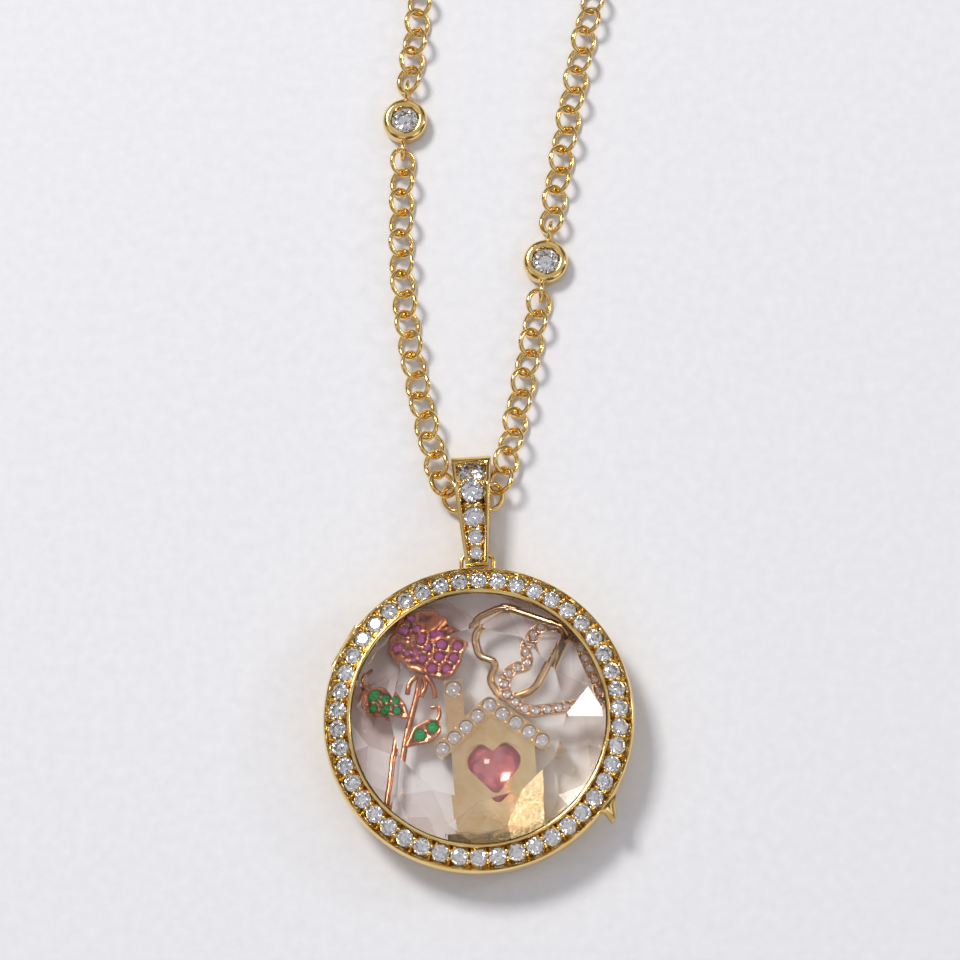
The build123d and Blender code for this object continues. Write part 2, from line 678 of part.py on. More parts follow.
def bail_crossing(path, length):
    """How far along the path the chain passes under the bail's front plate."""
    steps = [length * share / 400 for share in range(401)]
    heights = [path.position_at(step, position_mode=PositionMode.LENGTH).Y for step in steps]
    return steps[heights.index(min(heights))]


def chain_point(path, crossing, along):
    """The chain's centre and direction at a distance along its path."""
    def centre(distance):
        flat = path.position_at(distance, position_mode=PositionMode.LENGTH)
        away = abs(distance - crossing) - CROSSING_HALF_LENGTH
        lift = 1 - smooth_step(away / CROSSING_RAMP)
        height = CHAIN_HEIGHT + (BAIL_CROSSING_HEIGHT - CHAIN_HEIGHT) * lift
        return Vector(flat.X, flat.Y, height)

    step = 0.02
    low, high = max(0.0, along - step), min(path.length, along + step)
    return centre(along), (centre(high) - centre(low)).normalized()


def ring_at(centre, direction, turn, radius, wire):
    """A wire ring whose plane holds the chain's direction, turned about it from level."""
    level = Plane(origin=centre, x_dir=direction, z_dir=direction.cross(Vector(0, 0, 1)).cross(direction))
    return level * Rot(turn, 0, 0) * Torus(radius, wire / 2)


def spaced(start, end, pitch):
    """Evenly spaced distances from start to end, as near to the pitch as they come."""
    count = max(1, round((end - start) / pitch))
    return [start + (end - start) * step / count for step in range(count + 1)]


def link_distances(length, crossing):
    """Distances of all links along the visible path, closer in the bend and clear of the two stations."""
    room = EYE_OFFSET + EYE_TO_LINK
    left, right = STATION_POSITIONS["left"], STATION_POSITIONS["right"]
    end = LINK_RADIUS
    upper_left = spaced(end, left - room, LINK_PITCH)
    lower_left = spaced(left + room, crossing - BEND_HALF_LENGTH, LINK_PITCH)
    bend = spaced(crossing - BEND_HALF_LENGTH, crossing + BEND_HALF_LENGTH, BEND_PITCH)
    lower_right = spaced(crossing + BEND_HALF_LENGTH, right - room, LINK_PITCH)
    upper_right = spaced(right + room, length - end, LINK_PITCH)
    return upper_left + lower_left + bend[1:] + lower_right[1:] + upper_right


def chain_links():
    """All the visible links, each turned the other way from its neighbours."""
    path, length = strand()
    crossing = bail_crossing(path, length)
    links = []
    for number, along in enumerate(link_distances(length, crossing)):
        centre, direction = chain_point(path, crossing, along)
        turn = LINK_TURN if number % 2 else -LINK_TURN
        in_bend = abs(along - crossing) < BEND_HALF_LENGTH + BEND_PITCH / 2
        radius = BEND_LINK_RADIUS if in_bend else LINK_RADIUS
        links.append(ring_at(centre, direction, turn, radius, LINK_WIRE))
    return group(links)


def station_place(side):
    """A station's centre on the surface, with X along the chain."""
    path, length = strand()
    centre, direction = chain_point(path, bail_crossing(path, length), STATION_POSITIONS[side])
    flat = Vector(direction.X, direction.Y, 0)
    return Plane(origin=(centre.X, centre.Y, 0), x_dir=flat, z_dir=(0, 0, 1))


def station(side):
    """A rounded collet with a seat for its stone and an upright eye soldered on at each end."""
    seat_radius = STATION_STONE_WIDTH / 2 + SEAT_CLEARANCE
    wall = STATION_RADIUS - seat_radius + STATION_LEDGE
    collet_section = Pos(STATION_RADIUS - wall / 2, STATION_HEIGHT / 2) * RectangleRounded(
        wall, STATION_HEIGHT, STATION_ROUNDING * wall
    )
    body = revolve(Plane.XZ * collet_section, Axis.Z)
    table = STATION_HEIGHT - STATION_TABLE_DEPTH
    body -= Pos(0, 0, table) * stone_seat(STATION_STONE_WIDTH)
    body -= Pos(0, 0, table) * Cylinder(seat_radius, STATION_BORE_DEPTH)
    for end in (-1, 1):
        body += Pos(end * EYE_OFFSET, 0, EYE_HEIGHT) * Rot(90, 0, 0) * Torus(EYE_RADIUS, EYE_WIRE / 2)
    return station_place(side) * body


def station_stone(side):
    """The round stone of a station."""
    table = STATION_HEIGHT - STATION_TABLE_DEPTH
    return station_place(side) * Pos(0, 0, table) * round_stone(STATION_STONE_WIDTH)


def neck_points(side):
    """Points of the round neck stretch on one side, from its lower end up to the clasp."""
    points = []
    for angle in NECK_ANGLES:
        reach = NECK_RADIUS * math.cos(math.radians(angle))
        rise = NECK_RADIUS * math.sin(math.radians(angle))
        points.append((NECK_CENTRE[0] + side * reach, NECK_CENTRE[1] + rise))
    return points


def back_route(side):
    """One half of the hidden stretch, from the visible strand's end to the clasp."""
    half_clasp = CLASP_LENGTH / 2 + CLASP_GAP
    top = (NECK_CENTRE[0] + side * half_clasp, NECK_CENTRE[1] + NECK_RADIUS)
    lead, inner = (ROUTE_FRONT[-1], ROUTE_FRONT[-2]) if side > 0 else (ROUTE_FRONT[0], ROUTE_FRONT[1])
    direction = (Vector(*lead) - Vector(*inner)).normalized()
    start = Vector(*lead) + direction * (LINK_WIRE / 2 + CLASP_GAP)
    own = ROUTE_BACK_RIGHT if side > 0 else list(reversed(ROUTE_BACK_LEFT))
    return [(start.X, start.Y)] + own + neck_points(side) + [top]


def chain_tube(side):
    """The plain tube that stands for one half of the hidden chain."""
    points = back_route(side)
    flat = route(points)
    radii = [round(value, 1) for value in arc_radii(points)]
    print("tube", side, "length", round(flat.length, 1), "radii", radii)
    path = Pos(0, 0, CHAIN_TUBE / 2) * Wire(flat.edges())
    return sweep(Plane(path @ 0, z_dir=path % 0) * Circle(CHAIN_TUBE / 2), path=path)


def clasp():
    """The plain barrel clasp at the back of the neck."""
    radius = CLASP_DIAMETER / 2
    barrel = Rot(0, 90, 0) * Cylinder(radius, CLASP_LENGTH)
    barrel = fillet(barrel.edges(), CLASP_ROUNDING * radius)
    return Pos(NECK_CENTRE[0], NECK_CENTRE[1] + NECK_RADIUS, radius) * barrel


# Charms


def at_share(point, height=0.0):
    """A place in the charms' field from its shares, at a height."""
    return Pos(point[0] * CHARM_FIELD, point[1] * CHARM_FIELD, height)


def house_place():
    """The house's frame: origin at the heart stone, turned a little, on the crystal's inner side."""
    return at_share(HOUSE_CENTRE, CHARM_FLOOR) * Rot(0, 0, HOUSE_TURN)


def roof_stone_places():
    """The roof's stones, from the left end over the ridge to the right end, at their tables."""
    end_x, end_y = ROOF_END
    for step in range(-ROOF_STONES_A_SIDE, ROOF_STONES_A_SIDE + 1):
        share = abs(step) / ROOF_STONES_A_SIDE
        spot = (math.copysign(end_x * share, step), ROOF_APEX + (end_y - ROOF_APEX) * share)
        yield at_share(spot, ROOF_THICKNESS)


def roof_arm(side):
    """One slope of the roof as a bar with rounded ends."""
    end_x, end_y = ROOF_END
    length = math.hypot(end_x, ROOF_APEX - end_y) * CHARM_FIELD
    angle = math.degrees(math.atan2(end_y - ROOF_APEX, side * end_x))
    bar = extrude(SlotCenterToCenter(length, ROOF_WIDTH * CHARM_FIELD), ROOF_THICKNESS)
    return at_share((side * end_x / 2, (ROOF_APEX + end_y) / 2)) * Rot(0, 0, angle) * bar


def house_box(x, low, high, width):
    """An upright bar of the house's front, as thick as the roof, from shares."""
    size = (width * CHARM_FIELD, (high - low) * CHARM_FIELD, ROOF_THICKNESS)
    return at_share((x, (low + high) / 2), ROOF_THICKNESS / 2) * Box(*size)


def cabochon_face(margin):
    """The outline of the domed heart stone, wider by a margin."""
    width = CABOCHON_WIDTH * CHARM_FIELD
    face = closed_face(sized(CABOCHON_OUTLINE, width, width, width))
    return offset(face, margin) if margin else face


def house():
    """The house charm: wall, stone-set roof, chimney and doorstep in one casting."""
    wall = [
        (-HOUSE_HALF_WIDTH, HOUSE_FOOT), (HOUSE_HALF_WIDTH, HOUSE_FOOT), (HOUSE_HALF_WIDTH, HOUSE_EAVE),
        (0, HOUSE_APEX), (-HOUSE_HALF_WIDTH, HOUSE_EAVE),
    ]
    body = extrude(make_face(Polyline(*sized(wall, CHARM_FIELD, CHARM_FIELD), close=True)), HOUSE_THICKNESS)
    body += roof_arm(-1) + roof_arm(1)
    body += house_box(CHIMNEY_X, CHIMNEY_FOOT, CHIMNEY_TOP, CHIMNEY_WIDTH)
    step_top = HOUSE_FOOT + STEP_OVERLAP
    body += house_box(0, step_top - STEP_HEIGHT, step_top, 2 * STEP_HALF_WIDTH)
    for place in roof_stone_places():
        body -= place * stone_seat(HOUSE_STONE_WIDTH * CHARM_FIELD)
    body -= chimney_stone_place() * stone_seat(CHIMNEY_STONE_WIDTH * CHARM_FIELD)
    body -= Pos(0, 0, HOUSE_THICKNESS - CABOCHON_SEAT_DEPTH) * extrude(cabochon_face(SEAT_CLEARANCE), 1)
    return house_place() * body


def chimney_stone_place():
    """The chimney's stone, just under its top edge."""
    return at_share((CHIMNEY_X, CHIMNEY_TOP - CHIMNEY_WIDTH / 2), ROOF_THICKNESS)


def house_diamonds():
    """The roof's stones and the chimney's one."""
    stones = [place * round_stone(HOUSE_STONE_WIDTH * CHARM_FIELD) for place in roof_stone_places()]
    stones.append(chimney_stone_place() * round_stone(CHIMNEY_STONE_WIDTH * CHARM_FIELD))
    return group(house_place() * stone for stone in stones)


def house_cabochon():
    """The domed heart stone in the house's wall."""
    blank = extrude(cabochon_face(0), CABOCHON_HEIGHT)
    dome = Pos(0, 0, CABOCHON_HEIGHT - CABOCHON_DOME) * Sphere(CABOCHON_DOME)
    seat = HOUSE_THICKNESS - CABOCHON_SEAT_DEPTH + SEAT_CLEARANCE
    return house_place() * Pos(0, 0, seat) * (blank & dome)


def heart_rows():
    """The hearts' outline in millimetres: along, across and corner radius."""
    length = HEART_LENGTH * CHARM_FIELD
    return sized(HEART_OUTLINE, length, length, length)


def heart_place(cleft, turn, height):
    """A heart's level frame: origin at its cleft, X towards its tip."""
    return at_share(cleft, height) * Rot(0, 0, turn)


def heart_wire():
    """The polished open heart, bent from round wire and tilted through the set one."""
    path = closed_face(heart_rows()).face().outer_wire()
    wire = sweep(Plane(path @ 0, z_dir=path % 0) * Circle(HEART_WIRE / 2), path=path)
    lobe_reach = -heart_rows()[1][0] * math.sin(math.radians(HEART_TILT))
    height = CHARM_FLOOR + HEART_WIRE / 2 + lobe_reach
    return heart_place(HEART_CLEFT, HEART_TURN, height) * Rot(0, -HEART_TILT, 0) * wire


def band_place():
    """The set heart's frame, over the polished one's low side and under its high side."""
    return heart_place(BAND_CLEFT, BAND_TURN, CHARM_FLOOR + BAND_FLOOR) * Rot(-BAND_ROLL, 0, 0)


def band_stone_places():
    """Places evenly round the set heart's middle line, at the stones' tables."""
    outline = closed_face(heart_rows()).face().outer_wire()
    for step in range(BAND_STONES):
        spot = outline.position_at((step + 0.5) / BAND_STONES)
        yield Pos(spot.X, spot.Y, BAND_THICKNESS)


def heart_band():
    """The open heart that is set with small stones all round."""
    outline = closed_face(heart_rows())
    body = extrude(offset(outline, BAND_WIDTH / 2) - offset(outline, -BAND_WIDTH / 2), BAND_THICKNESS)
    for place in band_stone_places():
        body -= place * stone_seat(BAND_STONE_WIDTH)
    return band_place() * body


def heart_diamonds():
    """The small stones of the set heart."""
    stone = small_stone(BAND_STONE_WIDTH)
    return group(band_place() * place * stone for place in band_stone_places())


def charm_wire(points, wire, height):
    """A round wire that follows a flat route, given in shares, at one height."""
    path = Pos(0, 0, height) * Wire(route(sized(points, CHARM_FIELD, CHARM_FIELD)).edges())
    return sweep(Plane(path @ 0, z_dir=path % 0) * Circle(wire / 2), path=path)


def rose_stone_places(rows, table):
    """Places of the rose's stones at their tables, with their widths."""
    return [(at_share((x, y), table), width * CHARM_FIELD) for x, y, width in rows]


def rose():
    """The rose charm: three overlapping petals, sepals, stem and two curled leaves."""
    floor = Pos(0, 0, CHARM_FLOOR)
    body = floor * extrude(charm_face(BACK_PETAL), ROSE_THICKNESS - PETAL_STEP)
    body += floor * extrude(charm_face(LEFT_PETAL), ROSE_THICKNESS + PETAL_STEP)
    body += floor * extrude(charm_face(RIGHT_PETAL), ROSE_THICKNESS + PETAL_STEP)
    for leaf in (LEFT_LEAF, RIGHT_LEAF):
        body += Pos(0, 0, CHARM_FLOOR + LEAF_FLOOR) * extrude(charm_face(leaf), LEAF_THICKNESS)
    wire_height = CHARM_FLOOR + STEM_HEIGHT
    body += charm_wire(STEM_ROUTE, STEM_WIRE, wire_height)
    body += charm_wire(RIGHT_TENDRIL, TENDRIL_WIRE, wire_height)
    body += charm_wire(LEFT_TENDRIL, TENDRIL_WIRE, wire_height)
    for sepal in SEPALS:
        body += charm_wire(sepal, SEPAL_WIRE, wire_height + SEPAL_RISE)
    for place, width in rose_stone_places(SAPPHIRES, PETAL_TABLE) + rose_stone_places(EMERALDS, LEAF_TABLE):
        body -= place * stone_seat(width)
    return body


def rose_stones(rows, table):
    """Loose small stones at the rose's places."""
    return group(place * small_stone(width) for place, width in rose_stone_places(rows, table))


def nodes():
    """Every piece by the name of its node."""
    pieces = {
        "case_ring": case_ring(),
        "back_crystal": crystal(BACK_CROWN, BACK_GIRDLE, True),
        "hinge_pin": hinge_pin(),
        "bezel": bezel(),
        "bezel_stones": bezel_stones(),
        "front_crystal": Pos(0, 0, FRONT_TABLE_HEIGHT) * crystal(FRONT_CROWN, FRONT_GIRDLE, False),
        "bail": bail(),
        "chain_links": chain_links(),
        "chain_back_right": chain_tube(1),
        "chain_back_left": chain_tube(-1),
        "clasp": clasp(),
        "house_charm": house(),
        "house_diamonds": house_diamonds(),
        "house_heart_stone": house_cabochon(),
        "heart_charm": heart_wire(),
        "set_heart_charm": heart_band(),
        "set_heart_diamonds": heart_diamonds(),
        "rose_charm": rose(),
        "rose_sapphires": rose_stones(SAPPHIRES, PETAL_TABLE),
        "rose_emeralds": rose_stones(EMERALDS, LEAF_TABLE),
    }
    for number, (place, width) in enumerate(bail_stone_places(), start=1):
        pieces[f"bail_stone_{number}"] = bail_place() * place * round_stone(width)
    for side in STATION_POSITIONS:
        pieces[f"station_{side}"] = station(side)
        pieces[f"station_stone_{side}"] = station_stone(side)
    return pieces


os.makedirs("parts", exist_ok=True)
for name, piece in nodes().items():
    export_step(piece, f"parts/{name}.step")
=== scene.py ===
import bmesh
import bpy
import json
import math
from collections import namedtuple
from mathutils import Matrix, Vector


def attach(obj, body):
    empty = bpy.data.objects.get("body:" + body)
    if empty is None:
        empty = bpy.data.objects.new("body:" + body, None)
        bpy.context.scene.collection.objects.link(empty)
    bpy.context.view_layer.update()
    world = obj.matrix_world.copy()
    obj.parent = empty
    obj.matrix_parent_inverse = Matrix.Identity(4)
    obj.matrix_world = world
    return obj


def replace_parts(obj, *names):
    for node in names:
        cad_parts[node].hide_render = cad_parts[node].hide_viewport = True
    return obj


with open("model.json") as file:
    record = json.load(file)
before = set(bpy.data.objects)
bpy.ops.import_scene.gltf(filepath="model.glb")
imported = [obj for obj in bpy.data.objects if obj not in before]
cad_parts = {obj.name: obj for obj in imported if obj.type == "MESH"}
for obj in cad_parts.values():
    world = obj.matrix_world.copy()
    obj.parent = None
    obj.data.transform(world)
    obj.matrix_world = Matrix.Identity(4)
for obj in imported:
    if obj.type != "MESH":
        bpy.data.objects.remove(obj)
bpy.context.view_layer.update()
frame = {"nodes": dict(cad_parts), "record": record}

MM = 0.001

# Camera matched to the photograph, in millimetres
CAMERA_PLACE = (13.794, -78.254, 389.606)
CAMERA_TARGET = (0.044, 19.584, 2.0)
CAMERA_LENS = 190.2
CAMERA_SENSOR = 36
CAMERA_CLIP = 10

# Sizes repeated from the model, in millimetres, with the links' turn in degrees
LINK_RADIUS = 1.06
LINK_PITCH = 1.74
LINK_TURN = 38.0
LINK_HEIGHT = 0.87
CLASP_LENGTH = 8.0

# The hidden chain's way, in millimetres and degrees: from each visible strand's last two links
# to an arc round the neck
BACK_RIGHT = [
    (8.28, 56.00), (9.00, 59.10), (10.40, 65.10), (16.50, 73.80), (27.50, 82.40), (41.00, 93.50),
    (52.00, 110.00),
]
BACK_LEFT = [
    (-5.35, 55.70), (-4.95, 59.10), (-5.35, 65.60), (-12.80, 73.60), (-24.00, 82.00), (-37.50, 93.20),
    (-49.00, 110.00),
]
NECK_CENTRE = (1.50, 131.00)
NECK_RADIUS = 57.0
NECK_ANGLES = (10, 28, 46, 64, 81)
ROUTE_STEPS = 24

# How far the last link's centre stands from the clasp's end, in link radii
CLASP_REACH = 0.8

# The links' looks: wire and lift in millimetres, and the steps round the ring and round the wire
LINK_WIRE = 0.42
LINK_LIFT = 0.04
VISIBLE_LINK_STEPS = (28, 10)
BACK_LINK_STEPS = (16, 6)

# Rounds in which a link's flat direction settles, and where the search for it starts
FLAT_ROUNDS = 12
FLAT_GUESS = (0.1, 0.2, 1.0)

# How near two points of a mesh have to be to be one, in millimetres
ISLAND_WELD = 0.0005
CASTING_WELD = 0.01

# Rounded castings: sizes in millimetres, angles in degrees
EDGE_BEVELS = {"bezel": 0.06, "bail": 0.07, "rose_charm": 0.06, "set_heart_charm": 0.05}
SEAT_RIM = 0.22
ROUNDED_ABOVE = 40
CRISP_ABOVE = 35
FLAT_FACE_WEIGHT = 90

# Grains, in millimetres: width, distance to each side of the row, and rise above the stones' tables.
# The bail's distance narrows from gap to gap
GrainRow = namedtuple("GrainRow", "width across rise")
LID_GRAINS = GrainRow(0.36, 0.28, -0.06)
BAIL_GRAINS = GrainRow(0.30, (0.62, 0.42, 0.34, 0.28), -0.06)
ROOF_GRAINS = GrainRow(0.27, 0.42, -0.02)
BAND_GRAINS = GrainRow(0.22, 0.30, 0.0)
ROSE_GRAINS = GrainRow(0.30, 0.0, 0.06)
ROSE_NEIGHBOURS = 1.25
GRAIN_STEM = 0.45
STEM_SIDES = 8

# Shares: the stem's radius below and above, of the grain's width, and the grain's height, of a ball's
STEM_FOOT = 0.35
STEM_NECK = 0.42
GRAIN_FLATNESS = 0.6

# Sizes of the marks in the materials, in millimetres
GOLD_CLOUDS = 1.6
GOLD_MARKS = 0.22
GOLD_WAVES = 0.7
PAPER_TOOTH = 0.9
PAPER_RELIEF = 0.08

# The crystal's painted shade, darker from a lit spot towards the rim, in millimetres, and how fast its
# painted facet reflections change with a facet's direction
LIT_SPOT = (3.0, -4.0, 3.0)
LIT_RADIUS = 2.0
SHADED_RADIUS = 11.0
FACET_REFLECTION_WAVES = (17.0, 23.0, 5.0)

# Lamps: name, place and size in millimetres, watts and colour
LAMPS = [
    ("key_softbox", (-280, 333, 599), 190, 3.1, "#fffaf4"),
    ("fill_softbox", (420, -260, 420), 300, 0.2, "#f2f4ff"),
    ("glint_lamp", (412, 122, 255), 50, 0.15, "#ffffff"),
]
LAMP_TARGET = (0, 15, 0)

# The room from the horizon up: height on the sky's sphere, from 0 to 1, and the colour there
SKY = [
    (0.00, "#a09ea6"),
    (0.10, "#adabb2"),
    (0.10, "#787478"),
    (0.42, "#787478"),
    (0.60, "#a8a8ae"),
    (0.88, "#b6b6bc"),
]
SKY_STRENGTH = 1.1

# Dark and light panels round the room, up to the height at which they fade out
WALL_PANELS = 6
PANEL_EDGE = 0.3
DARK_PANEL = 0.4
LIGHT_PANEL = 1.6
WALL_TOP = 0.84
WALL_FADE = 0.08

# The sheet of paper, in millimetres: half its side, how far it is moved up the chain, and how low it lies
PAPER_HALF_SIDE = 3000
PAPER_SHIFT = 80
PAPER_LEVEL = -0.02


def linear(code):
    """An sRGB hex colour as linear red, green, blue and alpha."""
    shares = [int(code[start:start + 2], 16) / 255 for start in (1, 3, 5)]
    return [s / 12.92 if s <= 0.04045 else ((s + 0.055) / 1.055) ** 2.4 for s in shares] + [1.0]


def add(tree, kind, inputs=None, **settings):
    """Adds a node with its settings, and gives its inputs a value or a link."""
    made = tree.nodes.new(kind)
    for name, value in settings.items():
        setattr(made, name, value)
    for name, value in (inputs or {}).items():
        if isinstance(value, bpy.types.NodeSocket):
            tree.links.new(value, made.inputs[name])
        else:
            made.inputs[name].default_value = value
    return made


def new_material(name):
    """An empty node material, its tree and the place on the piece."""
    material = bpy.data.materials.new(name)
    material.use_nodes = True
    tree = material.node_tree
    tree.nodes.clear()
    return material, tree, add(tree, "ShaderNodeTexCoord").outputs["Object"]


def noise(tree, place, millimetres, detail):
    """Soft noise whose patches are about as wide as asked."""
    made = add(tree, "ShaderNodeTexNoise", {
        "Vector": place, "Scale": 1 / (millimetres * MM), "Detail": detail,
    })
    return made.outputs["Fac"]


def two_tones(tree, share, first, second, start=0.0, end=1.0):
    """A colour that turns from the first to the second while the share goes from start to end."""
    ramp = add(tree, "ShaderNodeValToRGB", {"Fac": share})
    for stop, position, colour in zip(ramp.color_ramp.elements, (start, end), (first, second)):
        stop.position = position
        stop.color = linear(colour)
    return ramp.outputs["Color"]


def see_through(tree, gem, colour):
    """Ends a gem's material: shadows and soft light go straight through it, tinted and without bending."""
    straight = add(tree, "ShaderNodeBsdfTransparent", {"Color": linear(colour)}).outputs["BSDF"]
    rays = add(tree, "ShaderNodeLightPath").outputs
    shader = gem.outputs["BSDF"]
    for kind in ("Is Diffuse Ray", "Is Shadow Ray"):
        mixed = add(tree, "ShaderNodeMixShader", {"Fac": rays[kind], 1: shader, 2: straight})
        shader = mixed.outputs["Shader"]
    add(tree, "ShaderNodeOutputMaterial", {"Surface": shader})


# Materials


def cast_gold(name, pale, deep, roughness, relief=0.02):
    """Cast gold polished by hand: colour nearly even, faint waves and fine wheel marks in the shine."""
    material, tree, place = new_material(name)
    clouds = noise(tree, place, GOLD_CLOUDS, 2.0)
    shine = add(tree, "ShaderNodeMapRange", {
        "Value": noise(tree, place, GOLD_MARKS, 3.0), "From Min": 0.3, "From Max": 0.7,
        "To Min": roughness * 0.8, "To Max": roughness * 1.25,
    })
    bump = add(tree, "ShaderNodeBump", {
        "Height": noise(tree, place, GOLD_WAVES, 1.0), "Strength": 0.25, "Distance": relief * MM,
    })
    metal = add(tree, "ShaderNodeBsdfPrincipled", {
        "Base Color": two_tones(tree, clouds, deep, pale, 0.35, 0.65), "Metallic": 1.0,
        "Roughness": shine.outputs["Result"], "Normal": bump.outputs["Normal"],
    })
    add(tree, "ShaderNodeOutputMaterial", {"Surface": metal.outputs["BSDF"]})
    return material


def cut_stone(name, colour, ior, marks_size, clearness=1.0):
    """A cut and polished gem that bends light by its own index, its polish very slightly uneven."""
    material, tree, place = new_material(name)
    shine = add(tree, "ShaderNodeMapRange", {
        "Value": noise(tree, place, marks_size, 1.0), "To Min": 0.0, "To Max": 0.02,
    })
    gem = add(tree, "ShaderNodeBsdfPrincipled", {
        "Base Color": linear(colour), "Roughness": shine.outputs["Result"], "IOR": ior,
        "Transmission Weight": clearness,
    })
    see_through(tree, gem, colour)
    return material


def rock_crystal(name, clear_tint, shade_tint):
    """Rock crystal in broad facets with painted shade and painted reflections: it darkens from a lit spot
    towards the rim, and each facet takes its own share.
    """
    material, tree, place = new_material(name)
    # Painted shade: the tint darkens away from a lit spot, and a wave of each facet's direction gives it
    # painted reflections
    reach = add(tree, "ShaderNodeVectorMath", {0: place, 1: Vector(LIT_SPOT) * MM}, operation="DISTANCE")
    painted_shade = add(tree, "ShaderNodeMapRange", {
        "Value": reach.outputs["Value"], "From Min": LIT_RADIUS * MM, "From Max": SHADED_RADIUS * MM,
    }).outputs["Result"]
    facing = add(tree, "ShaderNodeNewGeometry").outputs["True Normal"]
    turn = add(tree, "ShaderNodeVectorMath", {0: facing, 1: FACET_REFLECTION_WAVES}, operation="DOT_PRODUCT")
    wave = add(tree, "ShaderNodeMath", {0: turn.outputs["Value"]}, operation="SINE").outputs["Value"]
    own = add(tree, "ShaderNodeMapRange", {"Value": wave, "From Min": -1.0}).outputs["Result"]
    share = add(tree, "ShaderNodeMath", {0: own, 1: painted_shade}, operation="MULTIPLY").outputs["Value"]
    gem = add(tree, "ShaderNodeBsdfPrincipled", {
        "Base Color": two_tones(tree, share, clear_tint, shade_tint), "Roughness": 0.0, "IOR": 1.54,
        "Transmission Weight": 1.0,
    })
    see_through(tree, gem, clear_tint)
    return material


def paper(name):
    """Heavy watercolour paper: dull white with a hint of lilac and a fine uneven tooth."""
    material, tree, place = new_material(name)
    tooth = noise(tree, place, PAPER_TOOTH, 4.0)
    bump = add(tree, "ShaderNodeBump", {"Height": tooth, "Strength": 0.2, "Distance": PAPER_RELIEF * MM})
    dull = add(tree, "ShaderNodeBsdfPrincipled", {
        "Base Color": two_tones(tree, tooth, "#eef0f4", "#f3f5f8", 0.3, 0.7), "Roughness": 0.9,
        "Specular IOR Level": 0.2, "Normal": bump.outputs["Normal"],
    })
    add(tree, "ShaderNodeOutputMaterial", {"Surface": dull.outputs["BSDF"]})
    return material


yellow_gold = cast_gold("polished_yellow_gold", "#f8d893", "#f0c978", 0.12)
pale_gold = cast_gold("polished_pale_gold", "#fae0b0", "#f3d298", 0.14)
rose_gold = cast_gold("chased_rose_gold", "#e2a078", "#cf8a62", 0.2, 0.14)
# The light rose gold is the set heart's own tone, and a painted highlight on the rose's grains
light_rose_gold = cast_gold("polished_light_rose_gold", "#f6d8b2", "#edc69c", 0.14)
small_diamond = cut_stone("small_brilliant_diamond", "#fdfdff", 2.42, 0.4, 0.92)
sheet = paper("white_watercolour_paper")

FINISHES = {
    "yellow_gold": yellow_gold,
    "pale_gold": pale_gold,
    "rose_gold": rose_gold,
    # The crystal's second tint is painted shade and painted facet reflections
    "crystal": rock_crystal("faceted_rock_crystal", "#ffffff", "#d3b9b4"),
    "clear_stone": cut_stone("brilliant_cut_diamond", "#ffffff", 2.42, 0.6),
    "purple_stone": cut_stone("purple_pink_sapphire", "#e08cd0", 1.77, 0.6, 0.85),
    "green_stone": cut_stone("green_emerald", "#22dc7e", 1.58, 0.6, 0.85),
    "pink_stone": cut_stone("domed_pink_tourmaline", "#efc4d4", 1.63, 1.0, 0.92),
}
OWN_FINISHES = {
    "house_diamonds": small_diamond,
    "set_heart_diamonds": small_diamond,
    "set_heart_charm": light_rose_gold,
}
for row in frame["record"]["subparts"]:
    for place in frame["nodes"][row["node"]].material_slots:
        place.material = OWN_FINISHES.get(row["node"], FINISHES[row["material_slot"]])


# Pieces


def placed(name, data):
    """A new object of the scene."""
    made = bpy.data.objects.new(name, data)
    bpy.context.scene.collection.objects.link(made)
    return made


def piece_from(shape, name, material, body="case"):
    """Makes an object of a finished bmesh, gives it its finish and lets it ride on a body."""
    mesh = bpy.data.meshes.new(name)
    shape.to_mesh(mesh)
    shape.free()
    mesh.materials.append(material)
    made = placed(name, mesh)
    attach(made, body)
    return made


def repeated(pattern, places):
    """One smooth bmesh that holds a copy of the pattern at each place, and frees the pattern."""
    mesh = bpy.data.meshes.new("pattern")
    pattern.to_mesh(mesh)
    pattern.free()
    whole = bmesh.new()
    for place in places:
        old = len(whole.verts)
        whole.from_mesh(mesh)
        whole.verts.ensure_lookup_table()
        bmesh.ops.transform(whole, matrix=place, verts=whole.verts[old:])
    bpy.data.meshes.remove(mesh)
    for face in whole.faces:
        face.smooth = True
    return whole


def standing(spot, axis):
    """A frame at a spot whose Z runs along an axis."""
    return Matrix.Translation(spot) @ axis.to_track_quat("Z", "Y").to_matrix().to_4x4()


def islands(node):
    """The corner points of each loose solid of a node, in metres."""
    shape = bmesh.new()
    shape.from_mesh(frame["nodes"][node].data)
    bmesh.ops.remove_doubles(shape, verts=shape.verts, dist=ISLAND_WELD * MM)
    seen = set()
    found = []
    for first in shape.verts:
        if first in seen:
            continue
        seen.add(first)
        island = [first]
        for vertex in island:
            fresh = [edge.other_vert(vertex) for edge in vertex.link_edges]
            fresh = [other for other in fresh if other not in seen]
            seen.update(fresh)
            island += fresh
        found.append([vertex.co.copy() for vertex in island])
    shape.free()
    return found


# Chain


def flat_direction(spots, middle):
    """The direction in which a set of points is thinnest."""
    arms = [(spot - middle) / MM for spot in spots]
    spread = Matrix([
        [sum(arm[row] * arm[column] for arm in arms) for column in range(3)] for row in range(3)
    ])
    direction = Vector(FLAT_GUESS)
    for _ in range(FLAT_ROUNDS):
        direction = (spread.inverted() @ direction).normalized()
    return direction


